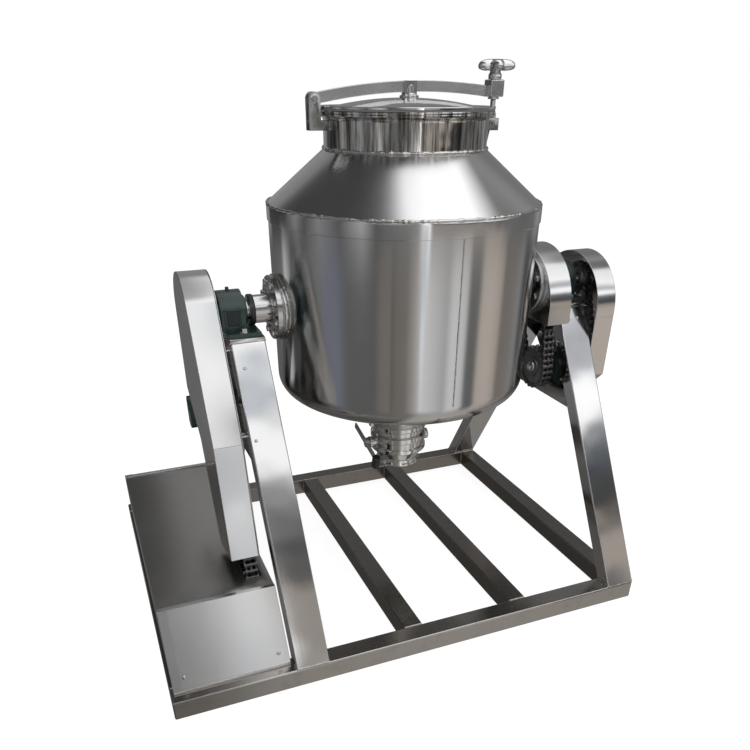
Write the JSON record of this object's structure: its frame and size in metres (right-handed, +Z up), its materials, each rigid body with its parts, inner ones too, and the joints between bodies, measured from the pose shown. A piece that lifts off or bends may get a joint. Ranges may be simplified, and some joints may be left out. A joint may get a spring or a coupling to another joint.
{
  "type": "rotary drum mixer",
  "caption": "Rotary drum mixer: a stainless drum with a clamped lid and a bottom valve tumbles between A-frame legs, driven by a chain, with a stirrer inside",
  "frame": {"origin": "middle of the whole outline's underside, on the floor", "axes": "+X along the trunnions from the gearmotor's side to the stirrer's side, +Y to the back, +Z up"},
  "size_m": [1.5334, 1.122, 1.4661],
  "materials": {
    "stainless_frame": "brushed",
    "stainless_sheet": "brushed",
    "stainless_drum": "satin",
    "polished_steel": "polished",
    "machined_steel": "machined",
    "sprocket_steel": "blackened",
    "chain_steel": "oiled",
    "green_castings": "painted",
    "black_plastic": "moulded",
    "bronze": "machined",
    "seal_rubber": "moulded"
  },
  "bodies": {
    "frame": {"front_rail": "stainless_frame", "back_rail": "stainless_frame", "cross_bars": "stainless_frame", "left_legs": "stainless_frame", "right_legs": "stainless_frame", "bearing_seats": "stainless_frame", "leg_beams": "stainless_frame", "deck_plate": "stainless_sheet", "hood_shell": "stainless_sheet", "hood_front_panel": "stainless_sheet", "hood_back_panel": "stainless_sheet", "main_gearbox": "green_castings", "main_motor": "green_castings", "motor_cowl": "green_castings", "terminal_box": "black_plastic", "main_chain": "chain_steel", "tensioner_bracket": "machined_steel", "left_guard_plate": "stainless_sheet", "left_guard_upper": "stainless_sheet", "left_guard_lower": "stainless_sheet", "guard_tabs": "stainless_sheet", "pillow_blocks": "green_castings", "bearing_inserts": "machined_steel", "bearing_bolts": "machined_steel", "inner_guard": "stainless_sheet", "outer_guard_upper": "stainless_sheet", "outer_guard_lower": "stainless_sheet", "counter_blocks": "green_castings", "inner_chain": "chain_steel", "outer_chain": "chain_steel"},
    "drum": {"drum_side": "stainless_drum", "drum_bottom": "stainless_drum", "drum_shoulder": "stainless_drum", "neck": "polished_steel", "shoulder_band": "stainless_drum", "hub_pads": "stainless_drum", "hub_bushes": "bronze", "left_trunnion": "machined_steel", "right_trunnion": "machined_steel", "trunnion_bolts": "machined_steel", "main_sprocket": "sprocket_steel", "drum_sprocket": "sprocket_steel", "outlet_neck": "stainless_drum", "valve_body": "polished_steel", "clamp_mounts": "polished_steel"},
    "drive": {"motor_sprocket": "sprocket_steel"},
    "tensioner": {"tensioner_arm": "green_castings"},
    "idler": {"idler_sprocket": "sprocket_steel"},
    "counter": {"countershaft": "machined_steel", "counter_sprockets": "sprocket_steel"},
    "stirrer": {"stirrer_shaft": "machined_steel", "stirrer_blades": "machined_steel", "stirrer_sprocket": "sprocket_steel"},
    "lid_clamp": {"clamp_bar": "polished_steel", "lid": "polished_steel", "lid_gasket": "seal_rubber"},
    "knob": {"hand_knob": "polished_steel"},
    "valve": {"valve_disc": "polished_steel", "valve_lever": "polished_steel", "lever_grip": "black_plastic"}
  },
  "joints": [
    {"name": "drum_spin", "type": "hinge", "parent": "frame", "child": "drum", "pos_m": [0.10325, 0, 0.885], "axis": [1, 0, 0], "continuous": true},
    {"name": "drive_spin", "type": "hinge", "parent": "frame", "child": "drive", "pos_m": [-0.49675, -0.3002, 0.165], "axis": [1, 0, 0], "continuous": true},
    {"name": "tensioner_swing", "type": "hinge", "parent": "frame", "child": "tensioner", "pos_m": [-0.51675, 0.155, 0.565], "axis": [1, 0, 0], "range_deg": [-6, 0]},
    {"name": "idler_spin", "type": "hinge", "parent": "tensioner", "child": "idler", "pos_m": [-0.49675, 0.04062, 0.64], "axis": [1, 0, 0], "continuous": true},
    {"name": "counter_spin", "type": "hinge", "parent": "frame", "child": "counter", "pos_m": [0.64325, -0.08, 0.64], "axis": [1, 0, 0], "continuous": true},
    {"name": "stirrer_spin", "type": "hinge", "parent": "frame", "child": "stirrer", "pos_m": [0.10325, 0, 0.885], "axis": [1, 0, 0], "continuous": true},
    {"name": "lid_opening", "type": "hinge", "parent": "drum", "child": "lid_clamp", "pos_m": [-0.14875, 0, 1.377], "axis": [0, -1, 0], "range_deg": [0, 60]},
    {"name": "knob_turn", "type": "hinge", "parent": "lid_clamp", "child": "knob", "pos_m": [0.36125, 0, 1.45], "axis": [0, 0, 1], "continuous": true},
    {"name": "valve_turn", "type": "hinge", "parent": "drum", "child": "valve", "pos_m": [0.10325, 0, 0.428], "axis": [1, 0, 0], "range_deg": [0, 90]}
  ],
  "couplings": [
    {"joint": "drive_spin", "follows": "drum_spin", "ratio": 1.7778},
    {"joint": "idler_spin", "follows": "drum_spin", "ratio": -2.9091},
    {"joint": "counter_spin", "follows": "drum_spin", "ratio": 1.6},
    {"joint": "stirrer_spin", "follows": "drum_spin", "ratio": 2.1333}
  ]
}
